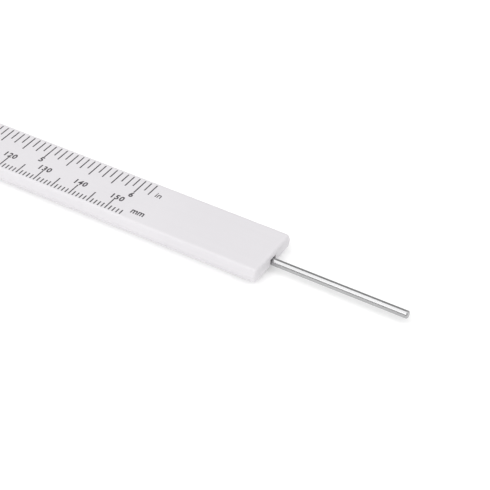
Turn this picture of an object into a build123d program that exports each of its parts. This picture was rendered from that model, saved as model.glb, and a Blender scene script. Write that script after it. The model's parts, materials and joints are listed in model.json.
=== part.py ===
from build123d import *
import math
import os

# Plastic vernier caliper, 150 mm / 6 in, with a steel depth rod.
# Units are millimetres. X runs along the rule from the jaws to the tail, and X = 0 is the fixed
# outside jaw's measuring face. Y = 0 is the rule's centre line, with +Y towards the inside jaws.
# Z = 0 is the plane the caliper lies on, and +Z points out of the printed face.
# The slider's pieces are drawn with the jaws closed, then moved by `opening`.

# --- pose in which the pieces are built
opening = 33.0  # gap between the outside jaws, which is also the depth rod's reach

# --- rule: a flat bar whose long edges stand out as shallow ridges
rule_reach = 205.1  # from the fixed jaw's face to the tail end
rule_thickness = 3.6
face_width = 14.6  # flat printed face between the two sloping edges
edge_bevel = 0.85  # how far each edge ridge stands out beyond the face
rule_edge_radius = 0.8  # on every long edge and all round the tail's end face

# --- groove along the rule's back for the depth rod
rod_radius = 0.9
rod_inset = 0.16  # rod's lowest line above the rule's back
rod_tip_radius = 0.4
groove_clearance = 0.25  # on each side of the rod
groove_roof = 0.24  # above the rod
groove_start = 30.0

# --- sheet steel back plate of the slider
plate_thickness = 0.8
plate_gap = 0.1  # between the rule's back and the back plate
plate_fit = 0.1  # round the plate in its recess
plate_start = 1.2
plate_length = 44.8
plate_margin = 1.0  # in from the slider's long edges
plate_corner = 1.2
plate_notch_gap = 0.3  # between the notch and the fixed inside jaw's foot
plate_notch_margin = 0.6  # the notch ends this far past the upper rail's start

# --- outside jaws and fixed head
head_length = 19.0
head_lift = 1.5  # head and jaws stand this far above the rule's printed face
head_corner = 3.0
jaw_reach = 40.0  # below the rule's lower edge
jaw_tip = 3.2
jaw_hollow = 3.2  # how far the jaw's back curves in from a straight line
face_start = 7.5  # measuring faces start this far below the rule's lower edge
face_relief = 0.5
knife_length = 17.0
knife_bevel = 1.9
jaw_edge_radius = 0.5

# --- inside jaws
inside_reach = 18.4  # above the rule's upper edge
inside_root = 9.0
inside_tip = 0.9
inside_hollow = 2.0
inside_clearance = 0.6  # between the moving jaw's root and the rule's upper edge
inside_bevel = 1.4
blade_gap = 0.2  # between the two jaws where they cross

# --- slider
slider_length = 50.0
rail_width = 6.05  # slider's long walls, outwards from the rule's ridge
front_wall = 2.2
slide_clearance = 0.1
upper_rail_start = 10.5  # leaves room for the fixed inside jaw when the jaws close
slider_corner = 2.5
slider_edge_radius = 0.6
window_start = 8.5
window_length = 35.0
window_lip = 0.6  # the slider overlaps the printed face by this much along each side
window_slope = 3.4  # width of the sloping faces that carry the verniers
window_end_slope = 1.2
lip_thickness = 0.35

# --- thumb rest
thumb_centre = 35.5
thumb_chord = 22.0
thumb_height = 5.0
thumb_inset = 0.9  # in from the slider's front and back
thumb_ribs = 9
thumb_rib_radius = 0.55

# --- back plate screws
screw_radius = 0.6
screw_head_radius = 1.1
screw_head_depth = 0.5
screw_length = 3.8
screw_edge = 3.6  # screw centres in from the plate's short edges
slot_width = 0.3
slot_depth = 0.25

# --- stop plate on the tail
stop_length = 6.4
stop_inset = 1.6  # in from the tail end
stop_setback = 2.55  # stop plate's ends in from the rule's ridges
stop_corner = 0.8
stop_screw_edge = 2.0  # screw centres in from the stop plate's ends
stop_screw_length = 2.9

# --- gib strip and leaf spring
gib_start = 12.0
gib_length = 36.0
gib_depth = 1.55  # gib's back beyond the rule's ridge
gib_height = 3.2
gib_clearance = 0.12
pocket_depth = 2.3  # pocket's back wall beyond the rule's ridge
pocket_clearance = 0.1
spring_thickness = 0.25
spring_length = 29.0
spring_height = 2.4
spring_gap = 0.02
set_screw_radius = 0.7
set_screw_edge = 1.4  # set screw centres in from the gib's ends
set_screw_sink = 0.3

# --- lock screw
lock_x = 30.0
lock_z = 3.1
boss_height = 3.0
boss_length = 9.0
boss_thickness = 5.8
boss_corner = 1.2
insert_radius = 1.9
insert_length = 4.4
stud_radius = 1.25
stud_clearance = 0.05
stud_gap = 0.06  # from the stud's tip to the leaf spring
stud_tip_chamfer = 0.2
stud_hole_extra = 0.2
knob_radius = 3.0
knob_height = 5.5
knob_gap = 0.8
knob_flutes = 18
knob_flute_radius = 0.3
knob_edge = 0.4
knob_socket = 4.0  # length of stud moulded into the knob

# --- rod's flattened and riveted root
tang_start = 33.5
tang_length = 7.0
tang_thickness = 1.1
tang_clearance = 0.1  # on each side of the tang in the groove
tang_taper = 3.0
rivet_radius = 0.45
rivet_head_radius = 0.8
rivet_head_height = 0.35
rivet_spacing = 4.0

# --- cutting
past = 1.0  # a cutter runs this far out of the piece it cuts

# --- worked out from the values above
half_face = face_width / 2
half_rule = half_face + edge_bevel
slider_half_width = half_rule + rail_width
plate_half_width = slider_half_width - plate_margin
plate_notch_edge = half_face - plate_notch_gap
stop_half_width = half_rule - stop_setback
stop_screw_y = stop_half_width - stop_screw_edge
stop_middle_x = rule_reach - stop_inset - stop_length / 2
groove_width = 2 * (rod_radius + groove_clearance)
groove_depth = rod_inset + 2 * rod_radius + groove_roof
tang_width = groove_width - 2 * tang_clearance
back_z = plate_thickness + plate_gap
face_z = back_z + rule_thickness
ridge_z = (back_z + face_z) / 2
jaw_front_z = face_z + head_lift
front_z = face_z + slide_clearance + front_wall
rod_z = back_z + rod_inset + rod_radius
blade_split_z = jaw_front_z / 2
window_half = half_face - window_lip
pocket_y = half_rule + pocket_depth
gib_back_y = half_rule + gib_depth
plate_screw_y = (pocket_y + plate_half_width) / 2
plate_notch_x = upper_rail_start + plate_notch_margin
spring_y = gib_back_y + spring_gap  # spring's face nearest the gib
boss_top = slider_half_width + boss_height
knob_bottom = boss_top + knob_gap
knife_y = half_rule + jaw_reach
inside_tip_y = half_rule + inside_reach


def block(x_low, x_high, y_low, y_high, z_low, z_high):
    """Box between two corners."""
    size = (x_high - x_low, y_high - y_low, z_high - z_low)
    return Pos(x_low, y_low, z_low) * Box(*size, align=(Align.MIN, Align.MIN, Align.MIN))


def slab(outline, z_low, z_high):
    """Plate with the given XY sketch between two heights."""
    return extrude(Pos(0, 0, z_low) * outline, z_high - z_low)


def bar_along_x(points, x_start, length):
    """Straight bar with the YZ outline given by points."""
    face = make_face(Polyline([(x_start, y, z) for y, z in points], close=True))
    return extrude(face, length, dir=(1, 0, 0))


def post_along_y(x, z, radius, y_low, y_high):
    """Round post whose axis runs along Y."""
    return Pos(x, y_low, z) * Rot(-90, 0, 0) * Cylinder(
        radius, y_high - y_low, align=(Align.CENTER, Align.CENTER, Align.MIN)
    )


def post_along_z(x, y, radius, z_low, z_high):
    """Round post whose axis runs along Z."""
    return Pos(x, y, z_low) * Cylinder(
        radius, z_high - z_low, align=(Align.CENTER, Align.CENTER, Align.MIN)
    )


def upright_edges(solid, x, y):
    """Edges along Z that stand at the given X and Y."""
    return [
        e for e in solid.edges().filter_by(Axis.Z)
        if abs(e.center().X - x) < 1e-3 and abs(e.center().Y - y) < 1e-3
    ]


# --- rule with the fixed head and jaws

def rule_bar():
    """The bar itself, from inside the head to its rounded tail, with the rod's groove."""
    start = -head_length / 2
    outline = [
        (-half_face, back_z), (-half_rule, ridge_z), (-half_face, face_z),
        (half_face, face_z), (half_rule, ridge_z), (half_face, back_z),
    ]
    bar = bar_along_x(outline, start, rule_reach - start)
    outer_edges = [e for e in bar.edges() if e.center().X > start + 1e-3]
    bar = fillet(outer_edges, rule_edge_radius)
    half_groove = groove_width / 2
    return bar - block(
        groove_start, rule_reach + past, -half_groove, half_groove, back_z - past, back_z + groove_depth
    )


def knife_cuts(blade_x, y_tip, y_end, z_faces, bevel):
    """Wedges that thin a jaw towards its measuring edge; bevel is negative for a jaw at lower X."""
    cuts = []
    for z, inward in z_faces:
        corner = (blade_x, y_tip, z)
        along = (blade_x + bevel, y_tip, z)
        down = (blade_x, y_tip, z + inward * abs(bevel))
        wedge = make_face(Polyline([corner, along, down], close=True))
        cuts.append(extrude(wedge, y_end - y_tip, dir=(0, 1, 0)))
    return cuts


def outside_jaw():
    """Outside jaw of the slider's side, with its measuring face at X = 0."""
    root = Vector(head_length, -slider_half_width)
    end = Vector(jaw_tip, -knife_y)
    along = (end - root).normalized()
    middle = (root + end) / 2 + Vector(along.Y, -along.X) * jaw_hollow
    step = -half_rule - face_start
    edges = [
        Polyline(
            (head_length, -slider_half_width), (head_length, -half_rule), (face_relief, -half_rule),
            (face_relief, step), (0, step - face_relief), (0, -knife_y), (jaw_tip, -knife_y),
        ),
        ThreePointArc((jaw_tip, -knife_y), (middle.X, middle.Y), (head_length, -slider_half_width)),
    ]
    jaw = slab(make_face(edges), 0, jaw_front_z)
    rim = [
        e for e in jaw.edges()
        if e.geom_type == GeomType.CIRCLE and e.length > jaw_tip
    ]
    jaw = fillet(rim, jaw_edge_radius)
    faces = [(0, 1), (jaw_front_z, -1)]
    for cut in knife_cuts(0, -knife_y, -knife_y + knife_length, faces, knife_bevel):
        jaw -= cut
    return jaw


def inside_jaw_outline(base_y):
    """XY outline of the moving inside jaw, whose measuring edge is X = 0."""
    shoulder = Vector(-inside_root, slider_half_width - 1)
    tip = Vector(-inside_tip, inside_tip_y)
    along = (tip - shoulder).normalized()
    middle = (shoulder + tip) / 2 + Vector(along.Y, -along.X) * inside_hollow
    edges = [
        Polyline(
            (tip.X, tip.Y), (0, inside_tip_y), (0, base_y), (-inside_root, base_y),
            (shoulder.X, shoulder.Y),
        ),
        ThreePointArc((shoulder.X, shoulder.Y), (middle.X, middle.Y), (tip.X, tip.Y)),
    ]
    return make_face(edges)


def make_beam():
    """Rule, fixed head, fixed outside jaw and fixed inside jaw in one moulding."""
    jaw = mirror(outside_jaw(), Plane.YZ)
    head = block(-head_length, -face_relief, -half_rule - 1, half_rule, 0, jaw_front_z)
    head = fillet(upright_edges(head, -head_length, half_rule), head_corner)
    blade_top = blade_split_z - blade_gap / 2
    blade = slab(mirror(inside_jaw_outline(half_face), Plane.YZ), 0, blade_top)
    for cut in knife_cuts(0, slider_half_width, inside_tip_y, [(0, 1)], inside_bevel):
        blade -= cut
    shoulder = make_face(Polyline(
        [(-head_length + head_corner, half_face), (-inside_root, slider_half_width - 1),
         (0, slider_half_width - 1), (0, half_face)], close=True,
    ))
    beam = rule_bar() + jaw + head + slab(shoulder, 0, blade_top) + blade
    for y in (-stop_screw_y, stop_screw_y):
        beam -= post_along_z(stop_middle_x, y, screw_radius, back_z - past, stop_screw_length)
    return beam


# --- slotted countersunk screw, head down

def plate_screw(x, y, length):
    """Countersunk screw whose flat head lies in the Z = 0 plane."""
    head = Pos(x, y, 0) * Cone(
        screw_head_radius, screw_radius, screw_head_depth, align=(Align.CENTER, Align.CENTER, Align.MIN)
    )
    screw = head + post_along_z(x, y, screw_radius, 0, length)
    half_slot = slot_width / 2
    reach = screw_head_radius + past
    return screw - block(x - reach, x + reach, y - half_slot, y + half_slot, -past, slot_depth)


def screw_seat(x, y):
    """Countersunk hole that a plate screw fills."""
    seat = Pos(x, y, 0) * Cone(
        screw_head_radius, screw_radius, screw_head_depth, align=(Align.CENTER, Align.CENTER, Align.MIN)
    )
    return seat + post_along_z(x, y, screw_radius, 0, plate_thickness + past)


def make_tail_stop():
    """Small plate across the rule's back that keeps the slider on and covers the groove."""
    outline = Pos(stop_middle_x, 0) * RectangleRounded(stop_length, 2 * stop_half_width, stop_corner)
    plate = slab(outline, 0, back_z)
    for y in (-stop_screw_y, stop_screw_y):
        plate -= screw_seat(stop_middle_x, y)
    return plate


def make_tail_stop_screws():
    return [plate_screw(stop_middle_x, y, stop_screw_length) for y in (-stop_screw_y, stop_screw_y)]


# --- slider

def plate_outline(grow):
    """Back plate's outline with its notch, grown by grow on every side."""
    low_x, high_x = plate_start - grow, plate_start + plate_length + grow
    low_y, high_y = -plate_half_width - grow, plate_half_width + grow
    notch_x, notch_y = plate_notch_x - grow, plate_notch_edge + grow
    corners = [
        (low_x, low_y), (high_x, low_y), (high_x, high_y),
        (notch_x, high_y), (notch_x, notch_y), (low_x, notch_y),
    ]
    return make_face(Polyline(corners, close=True))


def is_notch_corner(point):
    """Whether a point lies on the inner corner of the back plate's notch."""
    return abs(point.X - plate_notch_x) < 1e-3 and abs(point.Y - plate_notch_edge) < 1e-3


def plate_screw_places():
    """Local X and Y of the back plate's screws."""
    last = plate_start + plate_length - screw_edge
    upper_first = gib_start + set_screw_edge + screw_edge
    return [
        (plate_start + screw_edge, -plate_screw_y), (last, -plate_screw_y),
        (upper_first, plate_screw_y), (last, plate_screw_y),
    ]


def rule_channel():
    """Room for the rule, open towards the back."""
    face, ridge = half_face + slide_clearance, half_rule + slide_clearance
    outline = [
        (-face, -past), (-face, back_z), (-ridge, ridge_z), (-face, face_z + slide_clearance),
        (face, face_z + slide_clearance), (ridge, ridge_z), (face, back_z), (face, -past),
    ]
    return bar_along_x(outline, -inside_root - past, slider_length + inside_root + 2 * past)


def window_cut():
    """Window over the scales, with sloping sides for the verniers."""
    lip_z = face_z + slide_clearance + lip_thickness
    spread = 1 + past / (front_z - lip_z)  # the slopes run on out of the front face
    middle = window_start + window_length / 2
    low = Pos(middle, 0, lip_z) * Rectangle(window_length, 2 * window_half)
    high = Pos(middle, 0, front_z + past) * Rectangle(
        window_length + 2 * window_end_slope * spread, 2 * (window_half + window_slope * spread)
    )
    straight = block(
        window_start, window_start + window_length, -window_half, window_half, face_z - past, lip_z
    )
    return loft([low, high]) + straight


def thumb_rest():
    """Ribbed pad on the slider's lower edge."""
    half = thumb_chord / 2
    radius = (half ** 2 + thumb_height ** 2) / (2 * thumb_height)
    centre_y = -slider_half_width - thumb_height + radius
    z_low, z_high = thumb_inset, front_z - thumb_inset
    pad = post_along_z(thumb_centre, centre_y, radius, z_low, z_high)
    keep = block(thumb_centre - half, thumb_centre + half, -slider_half_width - 2 * thumb_height,
                 -slider_half_width + 1, z_low, z_high)
    pad = pad & keep
    spread = math.asin(half / radius)
    for i in range(thumb_ribs):
        angle = spread * (2 * (i + 1) / (thumb_ribs + 1) - 1)
        x = thumb_centre + radius * math.sin(angle)
        y = centre_y - radius * math.cos(angle)
        pad += post_along_z(x, y, thumb_rib_radius, z_low, z_high)
    return pad


def set_screw_places():
    return [gib_start + set_screw_edge, gib_start + gib_length - set_screw_edge]


def make_slider():
    """Slider moulding with the moving jaws, window, rails, thumb rest and lock boss."""
    body = block(face_relief, slider_length, -slider_half_width, slider_half_width, 0, front_z)
    corners = upright_edges(body, slider_length, -slider_half_width)
    corners += upright_edges(body, slider_length, slider_half_width)
    body = fillet(corners, slider_corner)
    rim = [
        e for e in body.edges()
        if abs(e.center().Z - front_z) < 1e-3 and e.center().X > face_relief + 0.1
    ]
    body = fillet(rim, slider_edge_radius)
    body += thumb_rest()
    boss_low = lock_z - boss_thickness / 2
    boss = block(lock_x - boss_length / 2, lock_x + boss_length / 2, slider_half_width - 1, boss_top,
                 boss_low, boss_low + boss_thickness)
    body += fillet(boss.edges().filter_by(Axis.Y), boss_corner)
    under_split = blade_split_z + blade_gap / 2
    body -= block(-past, upper_rail_start, half_face, slider_half_width + past, -past, under_split)
    body += outside_jaw()
    blade = slab(inside_jaw_outline(half_rule + inside_clearance), under_split, jaw_front_z)
    for cut in knife_cuts(0, slider_half_width, inside_tip_y, [(jaw_front_z, -1)], -inside_bevel):
        blade -= cut
    bridge = block(-face_relief, 2 * face_relief, half_rule + inside_clearance, slider_half_width - 1,
                   under_split, jaw_front_z)
    body += blade + bridge
    body -= rule_channel()
    body -= window_cut()
    body -= block(
        gib_start - pocket_clearance, gib_start + gib_length + pocket_clearance, 0, pocket_y,
        -past, ridge_z + gib_height / 2 + pocket_clearance,
    )
    body -= slab(plate_outline(plate_fit), -past, plate_thickness)
    for x, y in plate_screw_places():
        body -= post_along_z(x, y, screw_radius, 0, screw_length)
    for x in set_screw_places():
        body -= post_along_y(x, ridge_z, set_screw_radius, pocket_y - past, slider_half_width + past)
    body -= post_along_y(lock_x, lock_z, stud_radius + stud_hole_extra, pocket_y - past, boss_top + past)
    body -= post_along_y(lock_x, lock_z, insert_radius, boss_top - insert_length, boss_top + past)
    return body


def make_back_plate():
    """Thin steel plate that closes the slider's back."""
    plate = slab(plate_outline(0), 0, plate_thickness)
    outer_corners = [e for e in plate.edges().filter_by(Axis.Z) if not is_notch_corner(e.center())]
    plate = fillet(outer_corners, plate_corner)
    for x, y in plate_screw_places():
        plate -= screw_seat(x, y)
    for x in rivet_places():
        plate -= post_along_z(x, 0, rivet_radius, -past, plate_thickness + past)
    return plate


def make_back_plate_screws():
    return [plate_screw(x, y, screw_length) for x, y in plate_screw_places()]


# --- depth rod

def rivet_places():
    middle = tang_start + tang_length / 2
    return [middle - rivet_spacing / 2, middle + rivet_spacing / 2]


def make_depth_rod():
    """Round rod in the rule's groove; its root is flattened and riveted to the back plate."""
    tang_end = tang_start + tang_length
    tang_z = plate_thickness + tang_thickness / 2
    tang = block(tang_start, tang_end, -tang_width / 2, tang_width / 2, plate_thickness,
                 plate_thickness + tang_thickness)
    for x in rivet_places():
        tang -= post_along_z(x, 0, rivet_radius, 0, face_z)
    flat_end = Plane(origin=(tang_end, 0, tang_z), x_dir=(0, 1, 0), z_dir=(1, 0, 0)) * Rectangle(
        tang_width, tang_thickness
    )
    round_end = Plane(origin=(tang_end + tang_taper, 0, rod_z), x_dir=(0, 1, 0), z_dir=(1, 0, 0)) * Circle(
        rod_radius
    )
    taper = loft([flat_end, round_end])
    length = rule_reach - tang_end - tang_taper
    rod = Pos(tang_end + tang_taper, 0, rod_z) * Rot(0, 90, 0) * Cylinder(
        rod_radius, length, align=(Align.CENTER, Align.CENTER, Align.MIN)
    )
    rod = fillet(rod.edges().sort_by(Axis.X)[-1], rod_tip_radius)
    return tang + taper + rod


def make_rod_rivets():
    """Two rivets through the back plate and the rod's flattened root."""
    top = plate_thickness + tang_thickness
    rivets = []
    for x in rivet_places():
        shank = post_along_z(x, 0, rivet_radius, 0, top)
        head = post_along_z(x, 0, rivet_head_radius, top, top + rivet_head_height)
        head = fillet(head.edges().sort_by(Axis.Z)[-1], rivet_head_height * 0.6)
        rivets.append(shank + head)
    return rivets


# --- gib, leaf spring and lock screw

def make_gib_strip():
    """Grooved strip that bears on the rule's upper ridge."""
    half = gib_height / 2
    flank = half_rule + gib_clearance - edge_bevel * gib_height / rule_thickness
    outline = [
        (flank, ridge_z - half), (half_rule + gib_clearance, ridge_z), (flank, ridge_z + half),
        (gib_back_y, ridge_z + half), (gib_back_y, ridge_z - half),
    ]
    return bar_along_x(outline, gib_start, gib_length)


def make_leaf_spring():
    """Bowed strip: its middle meets the gib's back and its ends the pocket's back wall."""
    half = spring_length / 2
    rise = pocket_y - spring_gap - spring_thickness - spring_y
    low_x, high_x = lock_x - half, lock_x + half
    outer_y = spring_y + spring_thickness
    outline = make_face([
        ThreePointArc((low_x, spring_y + rise), (lock_x, spring_y), (high_x, spring_y + rise)),
        Line((high_x, spring_y + rise), (high_x, outer_y + rise)),
        ThreePointArc((high_x, outer_y + rise), (lock_x, outer_y), (low_x, outer_y + rise)),
        Line((low_x, outer_y + rise), (low_x, spring_y + rise)),
    ])
    return slab(outline, ridge_z - spring_height / 2, ridge_z + spring_height / 2)


def make_gib_set_screws():
    """Two slotted set screws that hold the gib's ends."""
    screws = []
    top = slider_half_width - set_screw_sink
    for x in set_screw_places():
        screw = post_along_y(x, ridge_z, set_screw_radius, gib_back_y + spring_gap, top)
        half_slot = slot_width / 2
        screws.append(screw - block(
            x - past, x + past, top - slot_depth, top + past, ridge_z - half_slot, ridge_z + half_slot
        ))
    return screws


def make_lock_insert():
    """Threaded brass insert in the slider's boss."""
    sleeve = post_along_y(lock_x, lock_z, insert_radius, boss_top - insert_length, boss_top)
    return sleeve - post_along_y(lock_x, lock_z, stud_radius + stud_clearance, pocket_y, boss_top + past)


def make_lock_stud():
    """Steel stud moulded into the knob."""
    tip = spring_y + spring_thickness + stud_gap
    stud = post_along_y(lock_x, lock_z, stud_radius, tip, knob_bottom + knob_socket)
    return chamfer(stud.edges().sort_by(Axis.Y)[0], stud_tip_chamfer)


def make_lock_knob():
    """Knurled knob of the lock screw."""
    knob = post_along_y(lock_x, lock_z, knob_radius, knob_bottom, knob_bottom + knob_height)
    knob = chamfer([e for e in knob.edges() if e.geom_type == GeomType.CIRCLE], knob_edge)
    for i in range(knob_flutes):
        angle = 2 * math.pi * i / knob_flutes
        x = lock_x + knob_radius * math.cos(angle)
        z = lock_z + knob_radius * math.sin(angle)
        knob -= post_along_y(x, z, knob_flute_radius, knob_bottom - past, knob_bottom + knob_height + past)
    return knob - post_along_y(lock_x, lock_z, stud_radius, knob_bottom - past, knob_bottom + knob_socket)


# --- files

fixed_pieces = {
    "beam": make_beam,
    "tail_stop": make_tail_stop,
    "tail_stop_screws": make_tail_stop_screws,
}
sliding_pieces = {
    "slider": make_slider,
    "back_plate": make_back_plate,
    "back_plate_screws": make_back_plate_screws,
    "depth_rod": make_depth_rod,
    "rod_rivets": make_rod_rivets,
    "gib_strip": make_gib_strip,
    "leaf_spring": make_leaf_spring,
    "gib_set_screws": make_gib_set_screws,
    "lock_insert": make_lock_insert,
    "lock_stud": make_lock_stud,
    "lock_knob": make_lock_knob,
}


def write_node(name, made, shift):
    """Write one solid as it is, and several as a group of separate solids."""
    if isinstance(made, list):
        shape = Compound(children=[Pos(shift, 0, 0) * solid for solid in made])
    else:
        shape = Pos(shift, 0, 0) * made
    export_step(shape, f"parts/{name}.step")


os.makedirs("parts", exist_ok=True)
for name, make in fixed_pieces.items():
    write_node(name, make(), 0)
for name, make in sliding_pieces.items():
    write_node(name, make(), opening)
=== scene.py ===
import json
import math

import bpy
from mathutils import Matrix, Vector


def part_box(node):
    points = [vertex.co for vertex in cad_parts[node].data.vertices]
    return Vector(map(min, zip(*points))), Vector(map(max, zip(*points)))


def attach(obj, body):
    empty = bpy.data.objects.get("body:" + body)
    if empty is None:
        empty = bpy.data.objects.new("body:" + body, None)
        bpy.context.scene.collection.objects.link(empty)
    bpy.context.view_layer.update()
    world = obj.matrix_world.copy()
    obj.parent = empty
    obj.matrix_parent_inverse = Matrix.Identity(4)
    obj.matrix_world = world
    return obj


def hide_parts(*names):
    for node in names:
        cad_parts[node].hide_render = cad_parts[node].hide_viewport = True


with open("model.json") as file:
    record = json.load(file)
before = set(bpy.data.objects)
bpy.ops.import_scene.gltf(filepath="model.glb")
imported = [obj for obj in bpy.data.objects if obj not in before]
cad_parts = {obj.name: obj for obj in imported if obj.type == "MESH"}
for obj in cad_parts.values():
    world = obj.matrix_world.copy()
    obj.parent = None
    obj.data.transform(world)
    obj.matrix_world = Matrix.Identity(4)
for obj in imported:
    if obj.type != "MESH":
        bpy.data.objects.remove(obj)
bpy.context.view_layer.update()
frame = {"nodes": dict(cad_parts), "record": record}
mm = 0.001


def span(node, axis):
    # lowest and highest value of a CAD node along one axis
    low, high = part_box(node)
    return low[axis], high[axis]


joints = {joint["name"]: joint for joint in frame["record"]["behaviour"]["joints"]}
opening = -joints["jaw_slide"]["range_m"][0]  # gap between the jaws at rest
tailX = span("beam", 0)[1]
backZ = span("tail_stop", 2)[1]
ruleThick = 3.6 * mm
faceZ = backZ + ruleThick  # printed face of the rule
frontZ = span("slider", 2)[1]
print("frame loaded, tail at", round(tailX, 4), "jaws open by", round(opening, 4))


class Wire:
    # wraps one output socket, so that arithmetic on it adds Math nodes

    def __init__(self, tree, socket):
        self.tree, self.socket = tree, socket

    def math(self, operation, *values):
        node = self.tree.nodes.new("ShaderNodeMath")
        node.operation = operation
        for place, value in enumerate(values):
            put(self.tree, node.inputs[place], value)
        return Wire(self.tree, node.outputs[0])

    def __add__(self, other):
        return self.math("ADD", self, other)

    def __radd__(self, other):
        return self.math("ADD", other, self)

    def __sub__(self, other):
        return self.math("SUBTRACT", self, other)

    def __rsub__(self, other):
        return self.math("SUBTRACT", other, self)

    def __mul__(self, other):
        return self.math("MULTIPLY", self, other)

    def __rmul__(self, other):
        return self.math("MULTIPLY", other, self)

    def __truediv__(self, other):
        return self.math("DIVIDE", self, other)

    def __rtruediv__(self, other):
        return self.math("DIVIDE", other, self)

    def __mod__(self, other):
        return self.math("FLOORED_MODULO", self, other)

    def __rmod__(self, other):
        return self.math("FLOORED_MODULO", other, self)

    def __pow__(self, other):
        return self.math("POWER", self, other)

    def __rpow__(self, other):
        return self.math("POWER", other, self)

    def __lt__(self, other):
        return self.math("LESS_THAN", self, other)

    def __gt__(self, other):  # what Python turns number < wire into
        return self.math("GREATER_THAN", self, other)

    def __abs__(self):
        return self.math("ABSOLUTE", self)

    def fraction(self):
        return self.math("FRACT", self)

    def smooth(self, low, high):
        return addNode(self.tree, "ShaderNodeMapRange", {"interpolation_type": "SMOOTHSTEP"},
                       {"Value": self, "From Min": low, "From Max": high})


def put(tree, socket, value):
    # a wire is linked, a plain value is set
    if isinstance(value, Wire):
        tree.links.new(value.socket, socket)
    else:
        socket.default_value = value


def addNode(tree, kind, settings=None, sockets=None, out=0):
    node = tree.nodes.new(kind)
    for name, value in (settings or {}).items():
        setattr(node, name, value)
    for name, value in (sockets or {}).items():
        put(tree, node.inputs[name], value)
    return Wire(tree, node.outputs[out])


def splitAxes(tree, vector):
    # the three coordinates as separate wires
    split = addNode(tree, "ShaderNodeSeparateXYZ", None, {"Vector": vector})
    return [Wire(tree, out) for out in split.socket.node.outputs]


class Finish:
    # one material with a Principled shader, and short ways to the patterns it needs

    def __init__(self, name, **fixed):
        self.material = bpy.data.materials.new(name)
        self.material.use_nodes = True
        self.tree = self.material.node_tree
        self.shader = self.tree.nodes["Principled BSDF"]
        self.set(**fixed)
        self.place = self.node("ShaderNodeTexCoord", out="Object")

    def set(self, **sockets):
        for name, value in sockets.items():
            put(self.tree, self.shader.inputs[name.replace("_", " ")], value)

    def node(self, kind, settings=None, sockets=None, out=0):
        return addNode(self.tree, kind, settings, sockets, out)

    def stretched(self, x, y, z):
        return self.node("ShaderNodeMapping", None, {"Vector": self.place, "Scale": (x, y, z)})

    def noise(self, scale, detail=2.0, rough=0.5, place=None):
        return self.node("ShaderNodeTexNoise", None, {
            "Vector": place or self.place, "Scale": scale, "Detail": detail, "Roughness": rough})

    def blend(self, amount, first, second):
        return self.node("ShaderNodeMix", {"data_type": "RGBA"}, {0: amount, 6: first, 7: second}, out=2)

    def bump(self, height, distance, strength):
        self.set(Normal=self.node("ShaderNodeBump", None, {
            "Height": height, "Distance": distance, "Strength": strength}))


# what the mould leaves on the plastic
moulding = {
    "cloudScale": 45,
    "flowStretch": (35, 900, 900),  # flow marks run along the rule
    "grainScale": 5200,
    "dustScale": 900,
    "dustAmount": 0.25,
    "reliefDeep": 0.02 * mm,
    "ridgeZ": backZ + ruleThick / 2,  # height of the mould's parting line, on the rule's ridges
    "lineWide": 0.06 * mm,
    "pinFace": backZ + 0.05 * mm,  # ejector pins push on the rule's back, below this
    "pinPitch": 40.0 * mm,
    "pinFirst": 20.0 * mm,
    "pinY": 4.6 * mm,
    "pinRadius": 1.6 * mm,
    "pinEdge": 0.12 * mm,
}


def makePlastic(name, light, shade, gloss):
    # moulded ABS: eggshell grain from the mould, faint cloudiness and long flow marks
    finish = Finish(name, IOR=1.5)
    cloud = finish.noise(moulding["cloudScale"], detail=3)
    flow = finish.noise(1, place=finish.stretched(*moulding["flowStretch"]))
    tone = cloud * 0.7 + flow * 0.3
    grain = finish.noise(moulding["grainScale"], rough=0.6)
    x, y, z = splitAxes(finish.tree, finish.place)
    seam = 1 - abs(z - moulding["ridgeZ"]).smooth(0.0, moulding["lineWide"])
    pinPlace = ((x - moulding["pinFirst"]) / moulding["pinPitch"] + 0.5).fraction() - 0.5
    fromPin = ((pinPlace * moulding["pinPitch"]) ** 2 + (abs(y) - moulding["pinY"]) ** 2) ** 0.5
    rim = 1 - abs(fromPin - moulding["pinRadius"]).smooth(0.0, moulding["pinEdge"])
    pin = (z < moulding["pinFace"]) * rim
    dust = finish.noise(moulding["dustScale"], detail=4, rough=0.7).smooth(0.62, 0.8)
    dust = dust * moulding["dustAmount"]  # handling marks
    paler = tone.smooth(0.35, 0.65) * 0.8 + pin * 0.2 + dust
    finish.set(Base_Color=finish.blend(paler, light, shade))
    finish.set(Roughness=gloss + (grain - 0.5) * 0.12 + (cloud - 0.5) * 0.1 + dust * 0.3)
    finish.bump(grain * 0.3 + flow * 0.2 + seam * 0.5 + pin, moulding["reliefDeep"], 0.4)
    return finish.material


def makeInk(name, colour, worn):
    finish = Finish(name, IOR=1.45)
    speck = finish.noise(2600, detail=3, rough=0.6)
    finish.set(Base_Color=finish.blend(speck.smooth(0.45, 0.75), colour, worn))
    finish.set(Roughness=0.55 + (speck - 0.5) * 0.2)
    return finish.material


def makeSteel(name, light, dark, rough, lay, streak):
    # lay stretches the grain: small along the direction in which the steel was drawn or brushed
    finish = Finish(name, Metallic=1.0)
    fine = finish.noise(1, detail=4, rough=0.65, place=finish.stretched(*lay))
    broad = finish.noise(60)
    finish.set(Base_Color=finish.blend((fine * 0.7 + broad * 0.3).smooth(0.3, 0.7), dark, light))
    finish.set(Roughness=rough + (fine - 0.5) * streak + (broad - 0.5) * 0.06)
    finish.bump(fine, 0.004 * mm, 0.4)
    return finish.material


def makeBrass(name, light, stained):
    finish = Finish(name, Metallic=1.0)
    turned = finish.noise(1, detail=3, rough=0.6, place=finish.stretched(600, 5000, 600))
    stain = finish.noise(300)
    finish.set(Base_Color=finish.blend(stain.smooth(0.4, 0.7), light, stained))
    finish.set(Roughness=0.28 + (turned - 0.5) * 0.2)
    finish.bump(turned, 0.006 * mm, 0.5)
    return finish.material


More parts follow.
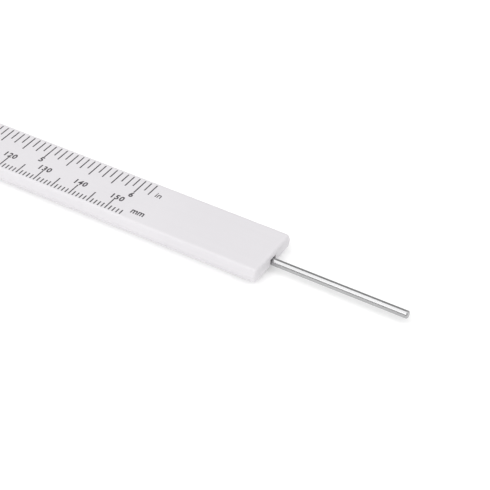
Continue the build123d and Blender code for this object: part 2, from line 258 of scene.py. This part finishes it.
# one finish for each material slot of the record, and the ink
finishes = {
    "white_plastic": makePlastic("whitePlastic", light=(0.742, 0.724, 0.747, 1),
                                 shade=(0.718, 0.700, 0.724, 1), gloss=0.52),
    "knob_plastic": makePlastic("knobPlastic", light=(0.70, 0.685, 0.71, 1),
                                shade=(0.66, 0.645, 0.67, 1), gloss=0.45),
    "slide_plastic": makePlastic("slidePlastic", light=(0.02, 0.02, 0.022, 1),
                                 shade=(0.03, 0.03, 0.032, 1), gloss=0.38),
    "sheet_steel": makeSteel("sheetSteel", light=(0.62, 0.62, 0.63, 1), dark=(0.46, 0.46, 0.47, 1),
                             rough=0.30, lay=(60, 4200, 4200), streak=0.25),
    "polished_steel": makeSteel("polishedSteel", light=(0.50, 0.50, 0.505, 1), dark=(0.42, 0.42, 0.425, 1),
                                rough=0.24, lay=(40, 5000, 5000), streak=0.10),
    "screw_steel": makeSteel("screwSteel", light=(0.60, 0.60, 0.58, 1), dark=(0.42, 0.42, 0.41, 1),
                             rough=0.28, lay=(1800, 1800, 1800), streak=0.2),
    "spring_steel": makeSteel("springSteel", light=(0.22, 0.22, 0.26, 1), dark=(0.12, 0.12, 0.15, 1),
                              rough=0.3, lay=(80, 3000, 3000), streak=0.2),
    "brass": makeBrass("turnedBrass", light=(0.72, 0.53, 0.24, 1), stained=(0.48, 0.33, 0.14, 1)),
    "ink": makeInk("scaleInk", colour=(0.060, 0.055, 0.061, 1), worn=(0.12, 0.11, 0.12, 1)),
}

for part in frame["record"]["subparts"]:
    node = frame["nodes"][part["node"]]
    node.data.materials.clear()
    node.data.materials.append(finishes[part["material_slot"]])
print("finishes on", len(frame["nodes"]), "CAD nodes")


# the lock screw's stud
thread = {
    "pitch": 0.45 * mm,
    "depth": 0.27 * mm,
    "sides": 48,
    "rowsPerTurn": 10,
    "tip": 0.2 * mm,  # the tip is turned down to the thread's root
}


def makeStud():
    # a right-handed V thread about Y, inside the CAD stud's outline
    (lowX, lowY, lowZ), (highX, highY, highZ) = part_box("lock_stud")
    middleX, middleZ = (lowX + highX) / 2, (lowZ + highZ) / 2
    outer = (highX - lowX) / 2
    sides = thread["sides"]
    rows = round((highY - lowY) / thread["pitch"] * thread["rowsPerTurn"])
    points, faces = [], []
    for row in range(rows + 1):
        along = (highY - lowY) * row / rows
        atTip = max(1 - along / thread["tip"], 0)
        for side in range(sides):
            turn = side / sides
            groove = 1 - abs((along / thread["pitch"] - turn) % 1 - 0.5) * 2
            radius = outer - thread["depth"] * max(groove, atTip)
            angle = 2 * math.pi * turn
            points.append((middleX + radius * math.sin(angle), lowY + along,
                           middleZ + radius * math.cos(angle)))
    for row in range(rows):
        for side in range(sides):
            a, b = row * sides + side, row * sides + (side + 1) % sides
            faces.append((a, b, b + sides, a + sides))
    faces.append(tuple(reversed(range(sides))))
    faces.append(tuple(range(rows * sides, (rows + 1) * sides)))
    mesh = bpy.data.meshes.new("threadedStud")
    mesh.from_pydata(points, [], faces)
    mesh.materials.append(finishes["screw_steel"])
    piece = bpy.data.objects.new("threadedStud", mesh)
    bpy.context.scene.collection.objects.link(piece)
    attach(piece, "lock_screw")
    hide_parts("lock_stud")


makeStud()
print("thread cut on the lock screw's stud")


def marksTree():
    # a row of marks; every nth is longer, and Direction says to which side of the base line they run
    tree = bpy.data.node_groups.new("scaleMarks", "GeometryNodeTree")
    face = tree.interface
    face.new_socket("Geometry", in_out="OUTPUT", socket_type="NodeSocketGeometry")
    kinds = {"Count": "Int", "Start": "Float", "Pitch": "Float", "Base": "Float", "Level": "Float",
             "Direction": "Float", "Width": "Float", "Height": "Float", "Length": "Float",
             "Minor Every": "Float", "Minor Length": "Float", "Middle Every": "Float",
             "Middle Length": "Float", "Long Every": "Float", "Long Length": "Float", "Ink": "Material"}
    for name, kind in kinds.items():
        face.new_socket(name, in_out="INPUT", socket_type="NodeSocket" + kind)
    given = tree.nodes.new("NodeGroupInput")
    size = {name: Wire(tree, given.outputs[name]) for name in kinds}
    index = addNode(tree, "GeometryNodeInputIndex")
    length = size["Length"]
    for rank in ("Minor", "Middle", "Long"):
        isRank = (index % size[rank + " Every"]) < 0.5
        length = length + isRank * (size[rank + " Length"] - length)
    baseY = size["Base"] + (size["Direction"] - 1) * 0.5 * length
    start = addNode(tree, "ShaderNodeCombineXYZ", None, {"X": size["Start"], "Z": size["Level"]})
    step = addNode(tree, "ShaderNodeCombineXYZ", None, {"X": size["Pitch"]})
    line = addNode(tree, "GeometryNodeMeshLine", None,
                   {"Count": size["Count"], "Start Location": start, "Offset": step})
    shift = addNode(tree, "ShaderNodeCombineXYZ", None, {"Y": baseY})
    points = addNode(tree, "GeometryNodeSetPosition", None, {"Geometry": line, "Offset": shift})
    bar = addNode(tree, "GeometryNodeMeshCube", None, {"Size": (1, 1, 1)})
    raised = addNode(tree, "GeometryNodeTransform", None, {"Geometry": bar, "Translation": (0, 0.5, 0.5)})
    grown = addNode(tree, "ShaderNodeCombineXYZ", None,
                    {"X": size["Width"], "Y": length, "Z": size["Height"]})
    marks = addNode(tree, "GeometryNodeInstanceOnPoints", None,
                    {"Points": points, "Instance": raised, "Scale": grown})
    real = addNode(tree, "GeometryNodeRealizeInstances", None, {"Geometry": marks})
    inked = addNode(tree, "GeometryNodeSetMaterial", None, {"Geometry": real, "Material": size["Ink"]})
    ending = tree.nodes.new("NodeGroupOutput")
    tree.links.new(inked.socket, ending.inputs[0])
    return tree


markTree = marksTree()


def ranked(*ranks):
    # the tree's inputs for minor, middle and long marks: how often each comes and how long it is
    inputs = {}
    for name, (every, length) in zip(("Minor", "Middle", "Long"), ranks):
        inputs[name + " Every"] = float(every)
        inputs[name + " Length"] = length
    return inputs


def plainMesh(holder, name):
    # bakes an object's modifiers or text into a plain mesh object and drops the holder
    graph = bpy.context.evaluated_depsgraph_get()
    mesh = bpy.data.meshes.new_from_object(holder.evaluated_get(graph))
    holder.modifiers.clear()
    bpy.data.objects.remove(holder)
    piece = bpy.data.objects.new(name, mesh)
    bpy.context.scene.collection.objects.link(piece)
    return piece


def makeMarks(name, body, sizes, tilt=None):
    holder = bpy.data.objects.new(name + "Holder", bpy.data.meshes.new(name + "Holder"))
    bpy.context.scene.collection.objects.link(holder)
    modifier = holder.modifiers.new("marks", "NODES")
    modifier.node_group = markTree
    for item in markTree.interface.items_tree:
        if item.in_out == "INPUT":
            value = finishes["ink"] if item.name == "Ink" else sizes[item.name]
            modifier[item.identifier] = value
    piece = plainMesh(holder, name)
    if tilt:
        piece.data.transform(tilt)
    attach(piece, body)


# the lettering of both scales and verniers
lettering = {
    "bold": 0.034,  # outline's growth, in text heights
    "curveSteps": 4,
}


def makeLabel(words, at, height, widen, level, thick, bold=lettering["bold"], spacing=1.0):
    # words as a thin raised print, its middle at at[0] and its foot at at[1]
    curve = bpy.data.curves.new("label", "FONT")
    curve.body = words
    curve.space_character = spacing
    curve.resolution_u = lettering["curveSteps"]
    curve.extrude = 0.01  # any thickness, since it is scaled to thick below
    curve.offset = bold
    holder = bpy.data.objects.new("label", curve)
    bpy.context.scene.collection.objects.link(holder)
    label = plainMesh(holder, "label")
    xs, ys, zs = zip(*(vertex.co for vertex in label.data.vertices))
    grow = height / (max(ys) - min(ys))
    label.data.transform(
        Matrix.Translation((at[0], at[1], level))
        @ Matrix.Diagonal((grow * widen, grow, thick / (max(zs) - min(zs)), 1))
        @ Matrix.Translation((-(min(xs) + max(xs)) / 2, -min(ys), -min(zs)))
    )
    return label


def joinPrint(labels, name, body, tilt=None):
    with bpy.context.temp_override(active_object=labels[0], selected_editable_objects=labels):
        bpy.ops.object.join()
    piece = labels[0]
    piece.name = name
    piece.data.materials.clear()
    piece.data.materials.append(finishes["ink"])
    if tilt:
        piece.data.transform(tilt)
    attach(piece, body)


# the print on the rule
scale = {
    "zero": 15.0 * mm,  # scale zero from the fixed jaw's face
    "ink": 0.012 * mm,
    "line": 0.31 * mm,
    "level": faceZ + 0.001 * mm,
    "numberWiden": 0.95,
    "numberSpacing": 1.16,
    "mmLast": 154,
    "mmNumberStep": 10,
    "mmNumberLast": 150,
    "mmBase": -6.68 * mm,
    "mmShort": 1.54 * mm,
    "mmFive": 3.72 * mm,
    "mmTen": 3.87 * mm,
    "mmNumberX": 0.04 * mm,
    "driftFrom": 130,  # past this the printed numbers run ahead of their marks
    "drift": 0.0195 * mm,
    "mmNumberY": -2.76 * mm,
    "mmNumberTall": 1.75 * mm,
    "inch": 25.4 * mm,
    "inchParts": 16,
    "inchLast": 98,  # sixteenths
    "inchNumberLast": 6,
    "inchBase": 6.60 * mm,
    "inchSixteenth": 3.06 * mm,
    "inchEighth": 3.96 * mm,
    "inchQuarter": 4.91 * mm,
    "inchWhole": 5.01 * mm,
    "inchNumberY": -0.28 * mm,
    "inchNumberTall": 1.82 * mm,
    "units": {
        "mm": {"at": (172.4 * mm, -4.95 * mm), "height": 1.30 * mm, "widen": 0.89, "bold": 0.024},
        "in": {"at": (172.93 * mm, 2.76 * mm), "height": 1.62 * mm, "widen": 0.98, "bold": 0.008},
    },
}

makeMarks("mmMarks", "rule", {
    "Count": scale["mmLast"] + 1, "Start": scale["zero"], "Pitch": 1 * mm, "Base": scale["mmBase"],
    "Level": scale["level"], "Direction": 1.0, "Width": scale["line"], "Height": scale["ink"],
    "Length": scale["mmShort"],
    **ranked((5, scale["mmFive"]), (5, scale["mmFive"]), (10, scale["mmTen"])),
})
makeMarks("inchMarks", "rule", {
    "Count": scale["inchLast"] + 1, "Start": scale["zero"], "Pitch": scale["inch"] / scale["inchParts"],
    "Base": scale["inchBase"], "Level": scale["level"], "Direction": -1.0, "Width": scale["line"],
    "Height": scale["ink"], "Length": scale["inchSixteenth"],
    **ranked((2, scale["inchEighth"]), (4, scale["inchQuarter"]), (16, scale["inchWhole"])),
})


def mmNumberX(value):
    drift = max(value - scale["driftFrom"], 0) * scale["drift"]
    return scale["zero"] + value * mm + scale["mmNumberX"] + drift


joinPrint([
    makeLabel(str(value), (mmNumberX(value), scale["mmNumberY"]), scale["mmNumberTall"],
              scale["numberWiden"], scale["level"], scale["ink"], spacing=scale["numberSpacing"])
    for value in range(0, scale["mmNumberLast"] + 1, scale["mmNumberStep"])
], "mmNumbers", "rule")
joinPrint([
    makeLabel(str(value), (scale["zero"] + value * scale["inch"], scale["inchNumberY"]),
              scale["inchNumberTall"], scale["numberWiden"], scale["level"], scale["ink"])
    for value in range(scale["inchNumberLast"] + 1)
], "inchNumbers", "rule")
joinPrint([
    makeLabel(unit, level=scale["level"], thick=scale["ink"], **look)
    for unit, look in scale["units"].items()
], "unitWords", "rule")
print("scales printed on the rule")


# the verniers on the window's sloping sides
vernier = {
    "zero": opening + scale["zero"],
    "innerY": 6.7 * mm,
    "innerZ": faceZ + 0.45 * mm,
    "slopeWide": 3.4 * mm,
    "offset": 0.004 * mm,  # print stands this far off the slope
    "ink": 0.010 * mm,
    "line": 0.16 * mm,
    "base": 0.12 * mm,  # marks start this far up the slope
    "short": 1.05 * mm,
    "long": 1.55 * mm,
    "longEvery": 4,
    "numberAt": 1.95 * mm,
    "numberTall": 1.05 * mm,
    "numberWiden": 0.9,
    "mmParts": 20,
    "mmSpan": 19.0 * mm,
    "mmNumbers": ("0", "2", "4", "6", "8", "10"),
    "inchParts": 8,
    "inchSpan": 7 / 16 * scale["inch"],
    "inchNumbers": ("0", "4", "8"),
    "wordGap": 3.6 * mm,
    "wordTall": 0.95 * mm,
    "wordWiden": 0.8,
    "wordBold": 0.01,
}


def slopeTilt(side):
    # lays flat print, with y = 0 at the slope's inner edge, onto the slope of that side
    rise = math.atan2(frontZ - vernier["innerZ"], vernier["slopeWide"])
    edge = Matrix.Translation((0, side * vernier["innerY"], vernier["innerZ"]))
    return edge @ Matrix.Rotation(side * rise, 4, "X")


def makeVernier(kind, side, word):
    parts, wide = vernier[kind + "Parts"], vernier[kind + "Span"]
    every, pitch = vernier["longEvery"], wide / parts
    longRank = (every, vernier["long"])
    makeMarks(kind + "VernierMarks", "slider", {
        "Count": parts + 1, "Start": vernier["zero"], "Pitch": pitch, "Base": side * vernier["base"],
        "Level": vernier["offset"], "Direction": float(side), "Width": vernier["line"],
        "Height": vernier["ink"], "Length": vernier["short"], **ranked(longRank, longRank, longRank),
    }, slopeTilt(side))
    low = vernier["numberAt"] if side > 0 else -vernier["numberAt"] - vernier["numberTall"]
    labels = [
        makeLabel(number, (vernier["zero"] + index * every * pitch, low), vernier["numberTall"],
                  vernier["numberWiden"], vernier["offset"], vernier["ink"])
        for index, number in enumerate(vernier[kind + "Numbers"])
    ]
    labels.append(makeLabel(word, (vernier["zero"] + wide + vernier["wordGap"], low), vernier["wordTall"],
                            vernier["wordWiden"], vernier["offset"], vernier["ink"], vernier["wordBold"]))
    joinPrint(labels, kind + "VernierNumbers", "slider", slopeTilt(side))


makeVernier("mm", -1, "0.05")
makeVernier("inch", 1, "1/128")
print("verniers printed on the slider")


# floor, lights and sky; turns and places are from the tail
studio = {
    "floorWide": 3.0,
    "floorPale": (0.78, 0.78, 0.78, 1),
    "floorDull": (0.76, 0.76, 0.76, 1),
    "floorGlow": 0.285,
    "overheadTurn": (-0.386, -0.36, 0.92),
    "overheadFar": 0.9,
    "overheadSize": (0.55, 1.35),
    "overheadPower": 3.75,
    "frontPlace": (0.08, -0.9, 0.62),
    "frontSize": (0.7, 0.7),
    "frontPower": 2.8,
    "skyFront": 0.42,
    "skyBack": 0.365,
    "backEdge": (-0.35, 0.55),  # the sky goes over from front to back between these
    "skyTop": 0.81,  # added around topTurn
    "topTurn": (0.52, 0.26, 0.81),
    "topEdge": (0.5, 0.95),
}


def makeFloor():
    mesh = bpy.data.meshes.new("floor")
    wide = studio["floorWide"]
    corners = [(-wide, -wide, 0), (wide, -wide, 0), (wide, wide, 0), (-wide, wide, 0)]
    mesh.from_pydata(corners, [], [(0, 1, 2, 3)])
    floor = bpy.data.objects.new("floor", mesh)
    bpy.context.scene.collection.objects.link(floor)
    finish = Finish("paleFloor", Roughness=0.9, Emission_Strength=studio["floorGlow"],
                    Emission_Color=(1, 1, 1, 1))
    cloud = finish.noise(3)
    finish.set(Base_Color=finish.blend(cloud, studio["floorPale"], studio["floorDull"]))
    mesh.materials.append(finish.material)


def facing(place, ahead, across):
    # matrix of something at place that looks ahead, with its own X along across
    turn = Matrix((across, -ahead.cross(across), -ahead)).transposed()
    return Matrix.Translation(place) @ turn.to_4x4()


def makeLight(name, place, aim, size, power):
    # size holds the widths along the rule and across it
    data = bpy.data.lights.new(name, "AREA")
    data.shape = "RECTANGLE"
    data.size, data.size_y = size
    data.energy = power
    lamp = bpy.data.objects.new(name, data)
    bpy.context.scene.collection.objects.link(lamp)
    ahead = (aim - place).normalized()
    across = Vector((0, 1, 0)).cross(ahead).normalized()
    lamp.matrix_world = facing(place, ahead, across)


def makeSky():
    world = bpy.data.worlds.new("studio")
    world.use_nodes = True
    tree = world.node_tree
    direction = addNode(tree, "ShaderNodeTexCoord", out="Generated")
    towardTail, towardBack, upward = splitAxes(tree, direction)
    topX, topY, topZ = studio["topTurn"]
    nearTop = towardTail * topX + towardBack * topY + upward * topZ
    backShare = towardBack.smooth(*studio["backEdge"])
    strength = studio["skyFront"] + backShare * (studio["skyBack"] - studio["skyFront"])
    strength = strength + nearTop.smooth(*studio["topEdge"]) * studio["skyTop"]
    background = tree.nodes["Background"]
    put(tree, background.inputs["Strength"], strength)
    background.inputs["Color"].default_value = (1, 1, 1, 1)
    bpy.context.scene.world = world


def makeStudio():
    tail = Vector((tailX, 0, 0))
    overhead = tail + Vector(studio["overheadTurn"]).normalized() * studio["overheadFar"]
    makeLight("overhead", overhead, tail, studio["overheadSize"], studio["overheadPower"])
    front = tail + Vector(studio["frontPlace"])
    makeLight("front", front, tail, studio["frontSize"], studio["frontPower"])
    makeSky()
    bpy.context.scene.view_settings.view_transform = "Standard"


viewPoint = {
    "place": (0.32509, -0.22057, 0.21203),
    "aim": (0.1987, -0.0011, 0.0045),
    "roll": -1.484,  # degrees
    "lens": 109.9,
    "sensor": 36,
    "shift": (-0.001, 0.0005),
    "nearest": 0.01,
}


def makeCamera():
    data = bpy.data.cameras.new("camera")
    data.sensor_width = viewPoint["sensor"]
    data.lens = viewPoint["lens"]
    data.clip_start = viewPoint["nearest"]
    data.shift_x, data.shift_y = viewPoint["shift"]
    camera = bpy.data.objects.new("camera", data)
    bpy.context.scene.collection.objects.link(camera)
    place = Vector(viewPoint["place"])
    ahead = (Vector(viewPoint["aim"]) - place).normalized()
    level = ahead.cross(Vector((0, 0, 1))).normalized()
    roll = Matrix.Rotation(math.radians(viewPoint["roll"]), 3, ahead)
    camera.matrix_world = facing(place, ahead, roll @ level)
    bpy.context.scene.camera = camera


makeFloor()
makeStudio()
makeCamera()
print("floor, light and camera placed")
